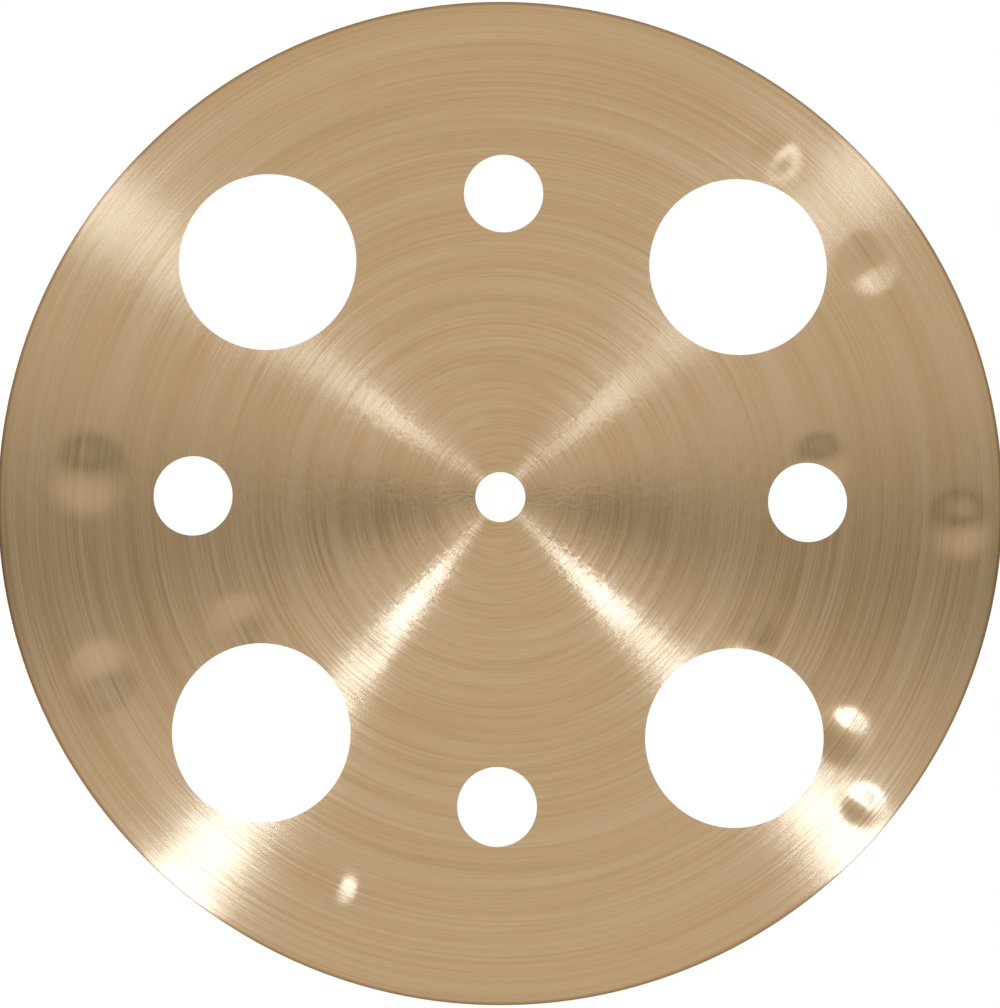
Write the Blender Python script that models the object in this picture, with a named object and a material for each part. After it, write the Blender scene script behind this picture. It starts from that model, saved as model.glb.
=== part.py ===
"""Thin ten inch effects cymbal: one hammered and turned bronze sheet with eight sound holes.

Units are metres, +Z is up and out of the crown. The origin is on the axis, in the plane
of the rim's lowest edge, so the cymbal stands on a table bow up, as it is put away.
"""
import math

import bmesh
import bpy
from mathutils import Vector

# Outline and sheet
RIM_RADIUS = 0.127
BORE_RADIUS = 0.00625
RIM_THICKNESS = 0.0007
BORE_THICKNESS = 0.0010

# Bow and shallow cup, on the middle of the sheet
BOW_RISE = 0.0094
SHOULDER_RADIUS = 0.048
CUP_RISE = 0.0052
SEAT_WIDTH = 0.00425
SHOULDER_SLOPE = 0.115
RIM_SLOPE = 0.140

# Sound holes, placed by the web that is left between each hole and the rim
HOLE_PAIRS = 4
LARGE_HOLE_RADIUS = 0.0225
LARGE_HOLE_WEB = 0.0205
SMALL_HOLE_RADIUS = 0.0100
SMALL_HOLE_WEB = 0.03975
CUTTER_OVERRUN = 0.004

# Hammer blows: inset from the rim, azimuth in degrees from +X, radius and depth of the hollow.
# A negative depth is a blow from the underside, which stands proud on top.
HAMMER_MARKS = (
    (0.0230, 177.0, 0.0115, 0.00030),
    (0.0175, 204.5, 0.0100, 0.00035),
    (0.0110, 357.5, 0.0095, 0.00030),
    (0.0165, 111.5, 0.0090, 0.00025),
    (0.0215, 77.5, 0.0090, 0.00030),
    (0.0155, 52.5, 0.0080, -0.00030),
    (0.0165, 33.0, 0.0090, 0.00030),
    (0.0225, 326.5, 0.0085, 0.00035),
    (0.0080, 320.5, 0.0060, 0.00020),
    (0.0215, 247.0, 0.0090, 0.00040),
    (0.0220, 280.0, 0.0080, 0.00020),
    (0.0520, 279.0, 0.0080, 0.00020),
    (0.0590, 252.5, 0.0085, 0.00020),
    (0.0545, 330.5, 0.0080, -0.00025),
    (0.0475, 112.5, 0.0080, 0.00020),
    (0.0545, 206.0, 0.0085, 0.00020),
    (0.0460, 7.5, 0.0080, 0.00025),
    (0.0790, 236.5, 0.0080, -0.00020),
)

# Facets
TURN_STEPS = 96
CUP_RINGS = 5
BOW_RINGS = 11
EDGE_STEPS = 4
LARGE_HOLE_STEPS = 40
SMALL_HOLE_STEPS = 24


def clear_scene():
    for leftover in list(bpy.data.objects):
        bpy.data.objects.remove(leftover, do_unlink=True)


def eased(radius, start, end):
    """Height and slope at a radius, on the curve that leaves start and meets end."""
    start_radius, start_height, start_slope = start
    end_radius, end_height, end_slope = end
    span = end_radius - start_radius
    u = (radius - start_radius) / span
    height = (2 * u**3 - 3 * u**2 + 1) * start_height + (u**3 - 2 * u**2 + u) * span * start_slope
    height += (3 * u**2 - 2 * u**3) * end_height + (u**3 - u**2) * span * end_slope
    slope = (6 * u**2 - 6 * u) * (start_height - end_height) / span
    slope += (3 * u**2 - 4 * u + 1) * start_slope + (3 * u**2 - 2 * u) * end_slope
    return height, slope


def sheet_middle(radius):
    """Height and slope of the middle of the sheet: flat seat, shallow cup, then the bow."""
    seat_radius = BORE_RADIUS + SEAT_WIDTH
    seat = (seat_radius, BOW_RISE + CUP_RISE, 0.0)
    shoulder = (SHOULDER_RADIUS, BOW_RISE, -SHOULDER_SLOPE)
    rim = (RIM_RADIUS, 0.0, -RIM_SLOPE)
    if radius <= seat_radius:
        return seat[1], 0.0
    if radius <= SHOULDER_RADIUS:
        return eased(radius, seat, shoulder)
    return eased(radius, shoulder, rim)


def sheet_thickness(radius):
    """The lathe thins the sheet evenly from the bore to the rim."""
    share = (radius - BORE_RADIUS) / (RIM_RADIUS - BORE_RADIUS)
    return BORE_THICKNESS + (RIM_THICKNESS - BORE_THICKNESS) * share


def between(first, last, count):
    """Evenly spaced radii after first, up to and with last."""
    return [first + (last - first) * step / count for step in range(1, count + 1)]


def turned_profile():
    """Closed outline of the sheet in the XZ plane: top face, round edge, underside."""
    seat_radius = BORE_RADIUS + SEAT_WIDTH
    edge_radius = RIM_THICKNESS / 2
    edge_centre = RIM_RADIUS - edge_radius
    radii = [BORE_RADIUS, seat_radius]
    radii += between(seat_radius, SHOULDER_RADIUS, CUP_RINGS)
    radii += between(SHOULDER_RADIUS, edge_centre, BOW_RINGS)

    top = []
    underside = []
    for radius in radii:
        height, slope = sheet_middle(radius)
        normal = Vector((-slope, 0.0, 1.0)).normalized()
        half = normal * sheet_thickness(radius) / 2
        middle = Vector((radius, 0.0, height))
        top.append(middle + half)
        underside.append(middle - half)

    height, slope = sheet_middle(edge_centre)
    lean = math.atan(-slope)
    centre = Vector((edge_centre, 0.0, height))
    edge = []
    for step in range(1, EDGE_STEPS):
        angle = math.pi / 2 - lean - math.pi * step / EDGE_STEPS
        edge.append(centre + edge_radius * Vector((math.cos(angle), 0.0, math.sin(angle))))

    outline = top + edge + underside[::-1]
    lowest = min(point.z for point in outline)
    return [point - Vector((0.0, 0.0, lowest)) for point in outline]


def hammered_drop(x, y):
    """How far the blows have pushed the sheet down at a place."""
    drop = 0.0
    for inset, azimuth, reach, depth in HAMMER_MARKS:
        distance = RIM_RADIUS - inset
        mark_x = distance * math.cos(math.radians(azimuth))
        mark_y = distance * math.sin(math.radians(azimuth))
        away = math.hypot(x - mark_x, y - mark_y) / reach
        if away < 1.0:
            drop += depth * math.cos(math.pi / 2 * away) ** 2
    return drop


def turn_sheet():
    """Spin the profile into the sheet, then hammer both faces together."""
    sheet = bmesh.new()
    ring = [sheet.verts.new(point) for point in turned_profile()]
    profile = [sheet.edges.new((ring[i - 1], ring[i])) for i in range(len(ring))]
    bmesh.ops.spin(
        sheet,
        geom=ring + profile,
        cent=(0.0, 0.0, 0.0),
        axis=(0.0, 0.0, 1.0),
        angle=math.tau,
        steps=TURN_STEPS,
        use_merge=True,
    )
    # Half a step of turn keeps the sheet's edges off the hole cutters' corners.
    half_step = math.pi / TURN_STEPS
    for vert in sheet.verts:
        x = vert.co.x * math.cos(half_step) - vert.co.y * math.sin(half_step)
        y = vert.co.x * math.sin(half_step) + vert.co.y * math.cos(half_step)
        vert.co = Vector((x, y, vert.co.z - hammered_drop(x, y)))
    bmesh.ops.recalc_face_normals(sheet, faces=sheet.faces)
    mesh = bpy.data.meshes.new("cymbal_plate")
    sheet.to_mesh(mesh)
    sheet.free()
    mesh.shade_smooth()
    mesh.set_sharp_from_angle(angle=math.radians(35))
    return mesh


def add_hole_cutter(cutter, radius, web, azimuth, steps):
    """One upright cutting cylinder, through both faces of the sheet."""
    pitch = RIM_RADIUS - web - radius
    low = -CUTTER_OVERRUN
    high = BOW_RISE + CUP_RISE + BORE_THICKNESS + CUTTER_OVERRUN
    made = bmesh.ops.create_cone(
        cutter,
        cap_ends=True,
        segments=steps,
        radius1=radius,
        radius2=radius,
        depth=high - low,
    )
    place = Vector((pitch * math.cos(azimuth), pitch * math.sin(azimuth), (high + low) / 2))
    bmesh.ops.translate(cutter, verts=made["verts"], vec=place)


def cut_sound_holes(plate):
    """Four large and four small round holes, turn about, punched square to the rim plane."""
    cutter = bmesh.new()
    for index in range(HOLE_PAIRS):
        azimuth = math.tau * index / HOLE_PAIRS
        add_hole_cutter(cutter, SMALL_HOLE_RADIUS, SMALL_HOLE_WEB, azimuth, SMALL_HOLE_STEPS)
        azimuth += math.pi / HOLE_PAIRS
        add_hole_cutter(cutter, LARGE_HOLE_RADIUS, LARGE_HOLE_WEB, azimuth, LARGE_HOLE_STEPS)
    mesh = bpy.data.meshes.new("sound_hole_cutter")
    cutter.to_mesh(mesh)
    cutter.free()
    punch = bpy.data.objects.new("sound_hole_cutter", mesh)
    punch.hide_render = True
    punch.display_type = "WIRE"
    bpy.context.scene.collection.objects.link(punch)
    cut = plate.modifiers.new("sound_holes", "BOOLEAN")
    cut.operation = "DIFFERENCE"
    cut.solver = "EXACT"
    cut.object = punch


def bronze():
    """Bell bronze, lathe turned and brushed bright."""
    material = bpy.data.materials.new("bell_bronze")
    material.use_nodes = True
    shader = material.node_tree.nodes["Principled BSDF"]
    shader.inputs["Base Color"].default_value = (0.53, 0.39, 0.22, 1.0)
    shader.inputs["Metallic"].default_value = 1.0
    shader.inputs["Roughness"].default_value = 0.3
    return material


def main():
    clear_scene()
    mesh = turn_sheet()
    mesh.materials.append(bronze())
    plate = bpy.data.objects.new("cymbal_plate", mesh)
    bpy.context.scene.collection.objects.link(plate)
    cut_sound_holes(plate)


main()
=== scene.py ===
import math

import bmesh
import bpy
from mathutils import Matrix, Vector


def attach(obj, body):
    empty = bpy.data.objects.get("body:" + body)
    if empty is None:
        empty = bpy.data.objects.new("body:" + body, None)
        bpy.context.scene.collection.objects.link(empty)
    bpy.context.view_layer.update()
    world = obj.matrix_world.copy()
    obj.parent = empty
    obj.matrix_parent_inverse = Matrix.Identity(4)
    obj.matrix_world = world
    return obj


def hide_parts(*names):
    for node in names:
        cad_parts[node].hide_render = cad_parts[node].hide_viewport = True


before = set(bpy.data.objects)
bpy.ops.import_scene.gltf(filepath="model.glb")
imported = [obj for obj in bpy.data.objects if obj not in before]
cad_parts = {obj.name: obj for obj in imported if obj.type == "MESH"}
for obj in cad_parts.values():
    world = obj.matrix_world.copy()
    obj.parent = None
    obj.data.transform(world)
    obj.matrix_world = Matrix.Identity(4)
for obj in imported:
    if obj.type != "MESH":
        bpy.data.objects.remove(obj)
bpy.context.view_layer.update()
mm = 0.001


def linear(code):
    # sRGB hex to the linear colour that a socket takes
    values = []
    for i in (1, 3, 5):
        c = int(code[i:i + 2], 16) / 255
        values.append(c / 12.92 if c <= 0.04045 else ((c + 0.055) / 1.055) ** 2.4)
    return (*values, 1.0)


def addNode(tree, kind, settings=None, links=None):
    # settings hold the node's own properties and its sockets' values, by name or by place
    node = tree.nodes.new(kind)
    for name, value in (settings or {}).items():
        if isinstance(name, str) and name in node.bl_rna.properties:
            setattr(node, name, value)
        else:
            node.inputs[name].default_value = value
    for name, source in (links or {}).items():
        tree.links.new(source, node.inputs[name])
    return node


# The cymbal, in millimetres and degrees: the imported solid's turned profile, with finer steps
plate = {
    "rimRadius": 127.0,
    "boreRadius": 6.25,
    "rimThickness": 0.7,
    "boreThickness": 1.0,
    "bowRise": 9.4,
    "cupRise": 5.2,
    "shoulderRadius": 48.0,    # where the cup meets the bow
    "seatWidth": 4.25,         # flat ring round the mounting hole
    "shoulderSlope": 0.115,
    "rimSlope": 0.140,
    "turnSteps": 480,
    "cupRings": 28,
    "bowRings": 54,
    "edgeSteps": 8,
    "punchLength": 30.0,
    "punchHeight": 8.0,        # of the punch's middle
    "sharpAngle": 40.0,        # edges that turn more than this stay crisp
    # radius, web to the rim, azimuth of the first of four, sides
    "soundHoles": [
        (22.5, 20.5, 45.0, 160),
        (10.0, 39.75, 0.0, 96),
    ],
    # inset from the rim, azimuth, radius, depth; negative stands proud
    # most are deeper than the solid's, so that they show in the soft light
    "hammerMarks": [
        (23.0, 177.0, 11.5, 0.48),
        (17.5, 204.5, 10.0, 0.56),
        (11.0, 357.5, 9.5, 0.48),
        (16.5, 111.5, 9.0, 0.40),
        (21.5, 77.5, 9.0, 0.48),
        (15.5, 52.5, 8.0, -0.48),
        (16.5, 33.0, 9.0, 0.48),
        (22.5, 326.5, 8.5, 0.56),
        (8.0, 320.5, 6.0, 0.32),
        (21.5, 247.0, 9.0, 0.64),
        (22.0, 280.0, 8.0, 0.32),
        (52.0, 279.0, 8.0, 0.32),
        (59.0, 252.5, 8.5, 0.32),
        (54.5, 330.5, 8.0, -0.40),
        (47.5, 112.5, 8.0, 0.32),
        (54.5, 206.0, 8.5, 0.32),
        (46.0, 7.5, 8.0, 0.40),
        (79.0, 236.5, 8.0, -0.12),
    ],
}


def eased(r, start, end):
    # height and slope at a radius, on the cubic from start to end, each a radius, a height and a slope
    (r0, z0, s0), (r1, z1, s1) = start, end
    span = r1 - r0
    u = (r - r0) / span
    z = (2 * u**3 - 3 * u**2 + 1) * z0 + (u**3 - 2 * u**2 + u) * span * s0
    z += (3 * u**2 - 2 * u**3) * z1 + (u**3 - u**2) * span * s1
    s = (6 * u**2 - 6 * u) * (z0 - z1) / span + (3 * u**2 - 4 * u + 1) * s0 + (3 * u**2 - 2 * u) * s1
    return z, s


def sheetMiddle(r):
    # flat seat, shallow cup, then the bow
    seat = (plate["boreRadius"] + plate["seatWidth"], plate["bowRise"] + plate["cupRise"], 0.0)
    shoulder = (plate["shoulderRadius"], plate["bowRise"], -plate["shoulderSlope"])
    rim = (plate["rimRadius"], 0.0, -plate["rimSlope"])
    if r <= seat[0]:
        return seat[1], 0.0
    return eased(r, seat, shoulder) if r <= shoulder[0] else eased(r, shoulder, rim)


def sheetThickness(r):
    share = (r - plate["boreRadius"]) / (plate["rimRadius"] - plate["boreRadius"])
    return plate["boreThickness"] + (plate["rimThickness"] - plate["boreThickness"]) * share


def turnedProfile():
    # both faces, half the thickness square to the middle line, joined by a rounded rim
    seatRadius = plate["boreRadius"] + plate["seatWidth"]
    edgeRadius = plate["rimThickness"] / 2
    edgeCentre = plate["rimRadius"] - edgeRadius
    radii = [plate["boreRadius"], plate["boreRadius"] + plate["seatWidth"] / 2, seatRadius]
    for first, last, count in ((seatRadius, plate["shoulderRadius"], plate["cupRings"]),
                               (plate["shoulderRadius"], edgeCentre, plate["bowRings"])):
        radii += [first + (last - first) * i / count for i in range(1, count + 1)]
    top, underside = [], []
    for r in radii:
        z, slope = sheetMiddle(r)
        half = Vector((-slope, 0, 1)).normalized() * sheetThickness(r) / 2
        top.append(Vector((r, 0, z)) + half)
        underside.append(Vector((r, 0, z)) - half)
    z, slope = sheetMiddle(edgeCentre)
    edge = []
    for i in range(1, plate["edgeSteps"]):
        a = math.pi / 2 + math.atan(slope) - math.pi * i / plate["edgeSteps"]
        edge.append(Vector((edgeCentre + edgeRadius * math.cos(a), 0, z + edgeRadius * math.sin(a))))
    outline = top + edge + underside[::-1]
    lowest = min(p.z for p in outline)
    return [p - Vector((0, 0, lowest)) for p in outline]


def hammeredDrop(x, y):
    drop = 0.0
    for inset, azimuth, reach, depth in plate["hammerMarks"]:
        d = plate["rimRadius"] - inset
        a = math.radians(azimuth)
        away = math.hypot(x - d * math.cos(a), y - d * math.sin(a)) / reach
        if away < 1:
            drop += depth * math.cos(math.pi / 2 * away) ** 2
    return drop


def turnBlank():
    # spin the profile, then hammer both faces together
    bm = bmesh.new()
    ring = [bm.verts.new(p) for p in turnedProfile()]
    lines = [bm.edges.new((ring[i - 1], ring[i])) for i in range(len(ring))]
    bmesh.ops.spin(bm, geom=ring + lines, cent=(0, 0, 0), axis=(0, 0, 1), angle=math.tau,
                   steps=plate["turnSteps"], use_merge=True)
    # half a step round, so that no edge runs through the middle of a hole
    halfStep = Matrix.Rotation(math.pi / plate["turnSteps"], 3, "Z")
    bmesh.ops.rotate(bm, verts=bm.verts, cent=(0, 0, 0), matrix=halfStep)
    for v in bm.verts:
        v.co.z -= hammeredDrop(v.co.x, v.co.y)
    bmesh.ops.recalc_face_normals(bm, faces=bm.faces)
    mesh = bpy.data.meshes.new("blank")
    bm.to_mesh(mesh)
    bm.free()
    print("blank turned and hammered:", len(mesh.polygons), "faces")
    return bpy.data.objects.new("blank", mesh)


def holeCutter():
    bm = bmesh.new()
    for radius, web, azimuth, sides in plate["soundHoles"]:
        pitch = plate["rimRadius"] - web - radius
        for quarter in range(4):
            a = math.radians(azimuth + 90 * quarter)
            place = Matrix.Translation((pitch * math.cos(a), pitch * math.sin(a), plate["punchHeight"]))
            bmesh.ops.create_cone(bm, cap_ends=True, segments=sides, radius1=radius, radius2=radius,
                                  depth=plate["punchLength"], matrix=place)
    mesh = bpy.data.meshes.new("holeCutter")
    bm.to_mesh(mesh)
    bm.free()
    return bpy.data.objects.new("holeCutter", mesh)


def punchHoles(blank):
    # the finished mesh, in metres
    cutter = holeCutter()
    for o in (blank, cutter):
        bpy.context.scene.collection.objects.link(o)
    punch = blank.modifiers.new("punch", "BOOLEAN")
    punch.operation = "DIFFERENCE"
    punch.solver = "EXACT"
    punch.object = cutter
    graph = bpy.context.evaluated_depsgraph_get()
    mesh = bpy.data.meshes.new_from_object(blank.evaluated_get(graph))
    for o in (blank, cutter):
        bpy.data.objects.remove(o, do_unlink=True)
    mesh.name = "hammeredPlate"
    mesh.transform(Matrix.Scale(mm, 4))
    print("sound holes punched:", len(mesh.polygons), "faces")
    return mesh


def addTurningMap(mesh):
    # u runs out along the radius, so the metal's tangent lies across the turning lines
    layer = mesh.uv_layers.new(name="turning")
    for face in mesh.polygons:
        start = None
        for i in face.loop_indices:
            co = mesh.vertices[mesh.loops[i].vertex_index].co
            turn = math.atan2(co.y, co.x) / math.tau
            if start is None:
                start = turn
            turn += round(start - turn)    # keeps a face whole where the circle closes
            layer.data[i].uv = (math.hypot(co.x, co.y) / (plate["rimRadius"] * mm), turn)


# Each pattern is its pitch across the lines in mm, its change round the circle, and its detail
bronze = {
    "colour": "#E2CBAA",
    "darkColour": "#D2B78E",
    "rimShadeColour": "#9C7A4C",           # painted shade on the rim's edge, so that it stands out from the bright streaks
    "rimShadeBand": 1.1,                   # mm
    "turningLines": (0.6, 1.3, 3.0),   # finer on a real one, and as coarse here as it takes to show
    "toneRings": (7.0, 0.7, 2.0),
    "brushStrokes": (1.4, 14.0, 1.0),
    "patternRoughness": 0.6,
    "patternRange": (0.3, 0.7),        # where nearly all of a pattern's values lie
    "ringShare": 0.5,                  # the rings' strength in the colour, the lines' being 1
    "toneRange": (0.56, 0.94),         # from the dark colour to the light one
    "strokeShare": 1.5,                # the strokes' depth, the lines' being 1
    "lineDepth": 0.02,                 # mm
    "roughness": 0.24,
    "roughnessSpread": 0.06,
    "anisotropy": 1.0,
}


def makeBronze():
    # Bell bronze, hammered, turned on a lathe and brushed: fine rings all round the axis, and each
    # light drawn out into a streak along the radius
    mat = bpy.data.materials.new("turnedBellBronze")
    mat.use_nodes = True
    tree = mat.node_tree
    shader = tree.nodes["Principled BSDF"]
    place = addNode(tree, "ShaderNodeTexCoord").outputs["Object"]
    flat = addNode(tree, "ShaderNodeVectorMath", {"operation": "MULTIPLY", 1: (1, 1, 0)},
                   {0: place}).outputs[0]
    radius = addNode(tree, "ShaderNodeVectorMath", {"operation": "LENGTH"}, {0: flat}).outputs["Value"]
    around = addNode(tree, "ShaderNodeVectorMath", {"operation": "NORMALIZE"}, {0: flat}).outputs[0]
    part = addNode(tree, "ShaderNodeSeparateXYZ", None, {0: around})

    def rings(pitch, wander, detail):
        # noise drawn out round the axis
        parts = {}
        for axis in "XY":
            parts[axis] = addNode(tree, "ShaderNodeMath", {"operation": "MULTIPLY", 1: wander},
                                  {0: part.outputs[axis]}).outputs[0]
        parts["Z"] = addNode(tree, "ShaderNodeMath", {"operation": "MULTIPLY", 1: 1 / (pitch * mm)},
                             {0: radius}).outputs[0]
        where = addNode(tree, "ShaderNodeCombineXYZ", None, parts).outputs[0]
        return addNode(tree, "ShaderNodeTexNoise", {
            "Scale": 1.0, "Detail": detail, "Roughness": bronze["patternRoughness"]},
            {"Vector": where}).outputs["Fac"]

    lines = rings(*bronze["turningLines"])
    tones = rings(*bronze["toneRings"])
    strokes = rings(*bronze["brushStrokes"])

    # colour: light and dark rings, then painted shade on the rim's edge
    low, high = bronze["toneRange"]
    both = addNode(tree, "ShaderNodeMath", {"operation": "MULTIPLY_ADD", 1: bronze["ringShare"]},
                   {0: tones, 2: lines}).outputs[0]
    tone = addNode(tree, "ShaderNodeMapRange", {"From Min": low, "From Max": high},
                   {"Value": both}).outputs[0]
    colour = addNode(tree, "ShaderNodeMix", {
        "data_type": "RGBA", 6: linear(bronze["darkColour"]), 7: linear(bronze["colour"])},
        {0: tone}).outputs[2]
    # painted shade: the outermost band of the rim is darkened in the colour
    rimShadeMask = addNode(tree, "ShaderNodeMapRange", {
        "From Min": (plate["rimRadius"] - bronze["rimShadeBand"]) * mm,
        "From Max": plate["rimRadius"] * mm}, {"Value": radius}).outputs[0]
    rimShaded = addNode(tree, "ShaderNodeMix", {"data_type": "RGBA", 7: linear(bronze["rimShadeColour"])},
                    {0: rimShadeMask, 6: colour}).outputs[2]
    tree.links.new(rimShaded, shader.inputs["Base Color"])

    # gloss: the lines are brushed more and less
    low, high = bronze["patternRange"]
    rough = addNode(tree, "ShaderNodeMapRange", {
        "From Min": low, "From Max": high,
        "To Min": bronze["roughness"] - bronze["roughnessSpread"],
        "To Max": bronze["roughness"] + bronze["roughnessSpread"]}, {"Value": lines}).outputs[0]
    tree.links.new(rough, shader.inputs["Roughness"])

    # relief: turning lines and the shorter strokes of the brush
    height = addNode(tree, "ShaderNodeMath", {"operation": "MULTIPLY_ADD", 1: bronze["strokeShare"]},
                     {0: strokes, 2: lines}).outputs[0]
    bump = addNode(tree, "ShaderNodeBump", {"Strength": 1.0, "Distance": bronze["lineDepth"] * mm},
                   {"Height": height}).outputs[0]
    tree.links.new(bump, shader.inputs["Normal"])

    tangent = addNode(tree, "ShaderNodeTangent", {"direction_type": "UV_MAP", "uv_map": "turning"})
    tree.links.new(tangent.outputs[0], shader.inputs["Tangent"])
    shader.inputs["Metallic"].default_value = 1.0
    shader.inputs["Anisotropic"].default_value = bronze["anisotropy"]
    print("bronze made:", len(tree.nodes), "nodes")
    return mat


def addPlate():
    mesh = punchHoles(turnBlank())
    mesh.shade_smooth()
    mesh.set_sharp_from_angle(angle=math.radians(plate["sharpAngle"]))
    addTurningMap(mesh)
    mesh.materials.append(makeBronze())
    piece = bpy.data.objects.new("hammeredPlate", mesh)
    bpy.context.scene.collection.objects.link(piece)
    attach(piece, "root")
    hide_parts("cymbal_plate")
    print("plate added")


paper = {
    "reach": 2.5,           # metres from the middle to each side
    "colour": "#E7E7E7",
    "glow": 1.05,           # 1 is white, and a little more makes up for the matt share
    "glowShare": 0.93,      # the rest takes the cymbal's shadow
}


def addFloor():
    # Matt paper, which the lens and the metal see as white
    bm = bmesh.new()
    bmesh.ops.create_grid(bm, x_segments=1, y_segments=1, size=paper["reach"])
    mesh = bpy.data.meshes.new("floor")
    bm.to_mesh(mesh)
    bm.free()
    mat = bpy.data.materials.new("paperFloor")
    mat.use_nodes = True
    tree = mat.node_tree
    tree.nodes.remove(tree.nodes["Principled BSDF"])
    matt = addNode(tree, "ShaderNodeBsdfDiffuse", {"Color": linear(paper["colour"])})
    glow = addNode(tree, "ShaderNodeEmission", {"Color": linear("#FFFFFF"), "Strength": paper["glow"]})
    path = addNode(tree, "ShaderNodeLightPath")
    seen = addNode(tree, "ShaderNodeMath", {"operation": "ADD"},
                   {0: path.outputs["Is Camera Ray"], 1: path.outputs["Is Glossy Ray"]})
    seen = addNode(tree, "ShaderNodeMath", {"operation": "ADD", "use_clamp": True},
                   {0: seen.outputs[0], 1: path.outputs["Is Transmission Ray"]})
    share = addNode(tree, "ShaderNodeMath", {"operation": "MULTIPLY", 1: paper["glowShare"]},
                    {0: seen.outputs[0]})
    mix = addNode(tree, "ShaderNodeMixShader", None,
                  {0: share.outputs[0], 1: matt.outputs[0], 2: glow.outputs[0]})
    tree.links.new(mix.outputs[0], tree.nodes["Material Output"].inputs["Surface"])
    mesh.materials.append(mat)
    floor = bpy.data.objects.new("floor", mesh)
    bpy.context.scene.collection.objects.link(floor)
    print("floor laid")


# Four long softboxes, one for each bright streak
softboxes = {
    "azimuths": (228.0, 320.0, 46.0, 140.0),    # degrees
    "powers": (8.0, 7.5, 1.7, 2.0),             # watts
    "polar": 42.0,                              # degrees off the axis
    "distance": 2.2,                            # metres
    "size": (0.20, 0.8),                        # metres, across and along the radius
    "colour": "#C8DCFF",
}


def direction(azimuth, polar):
    a, p = math.radians(azimuth), math.radians(polar)
    return Vector((math.sin(p) * math.cos(a), math.sin(p) * math.sin(a), math.cos(p)))


def addSoftboxes():
    for azimuth, power in zip(softboxes["azimuths"], softboxes["powers"]):
        lamp = bpy.data.lights.new("softbox", "AREA")
        lamp.shape = "RECTANGLE"
        lamp.size, lamp.size_y = softboxes["size"]
        lamp.energy = power
        lamp.color = linear(softboxes["colour"])[:3]
        box = bpy.data.objects.new("softbox", lamp)
        way = direction(azimuth, softboxes["polar"])
        across = Vector((0, 0, 1)).cross(way).normalized()
        box.matrix_world = Matrix((across, way.cross(across), way)).transposed().to_4x4()
        box.location = way * softboxes["distance"]
        bpy.context.scene.collection.objects.link(box)
    print("softboxes hung:", len(softboxes["azimuths"]))


# The room's even light, darker at the picture's sides than at its top and bottom
room = {
    "colour": "#FFF4E6",
    "sideLevel": 0.29,
    "frontLevel": 0.70,
    "sideReach": 0.5,    # sine of the angle from the sides at which the front's level is full
}


def addRoom():
    world = bpy.data.worlds.new("studio")
    world.use_nodes = True
    tree = world.node_tree
    background = tree.nodes["Background"]
    way = addNode(tree, "ShaderNodeTexCoord").outputs["Generated"]
    flat = addNode(tree, "ShaderNodeVectorMath", {"operation": "MULTIPLY", 1: (1, 1, 0)}, {0: way})
    flat = addNode(tree, "ShaderNodeVectorMath", {"operation": "NORMALIZE"}, {0: flat.outputs[0]})
    part = addNode(tree, "ShaderNodeSeparateXYZ", None, {0: flat.outputs[0]})
    front = addNode(tree, "ShaderNodeMath", {"operation": "ABSOLUTE"}, {0: part.outputs["Y"]})
    level = addNode(tree, "ShaderNodeMapRange", {
        "interpolation_type": "SMOOTHSTEP", "From Max": room["sideReach"],
        "To Min": room["sideLevel"], "To Max": room["frontLevel"]}, {"Value": front.outputs[0]})
    path = addNode(tree, "ShaderNodeLightPath")
    strength = addNode(tree, "ShaderNodeMath", {"operation": "MAXIMUM"},
                       {0: level.outputs[0], 1: path.outputs["Is Camera Ray"]})
    tree.links.new(strength.outputs[0], background.inputs["Strength"])
    air = addNode(tree, "ShaderNodeMix", {
        "data_type": "RGBA", 6: linear(room["colour"]), 7: linear("#FFFFFF")},
        {0: path.outputs["Is Camera Ray"]})
    tree.links.new(air.outputs[2], background.inputs["Color"])
    bpy.context.scene.world = world
    print("room lit")


view = {
    "distance": 1.2,          # metres from the cymbal to the lens
    "tilt": 3.28,             # degrees off the axis, towards the lower edge of the picture
    "roll": 0.61,             # degrees
    "aim": (-0.07, -0.86),    # mm from the axis
    "focal": 170.9,           # mm
    "sensor": 36.0,           # mm
}


def addCamera():
    lens = bpy.data.cameras.new("camera")
    lens.sensor_fit = "HORIZONTAL"
    lens.sensor_width = view["sensor"]
    lens.lens = view["focal"]
    camera = bpy.data.objects.new("camera", lens)
    aim = Matrix.Translation((view["aim"][0] * mm, view["aim"][1] * mm, 0))
    tilt = Matrix.Rotation(math.radians(view["tilt"]), 4, "X")
    roll = Matrix.Rotation(math.radians(view["roll"]), 4, "Z")
    camera.matrix_world = aim @ tilt @ roll @ Matrix.Translation((0, 0, view["distance"]))
    bpy.context.scene.collection.objects.link(camera)
    bpy.context.scene.camera = camera
    print("camera set")


addPlate()
addFloor()
addSoftboxes()
addRoom()
addCamera()
bpy.context.scene.view_settings.view_transform = "Standard"
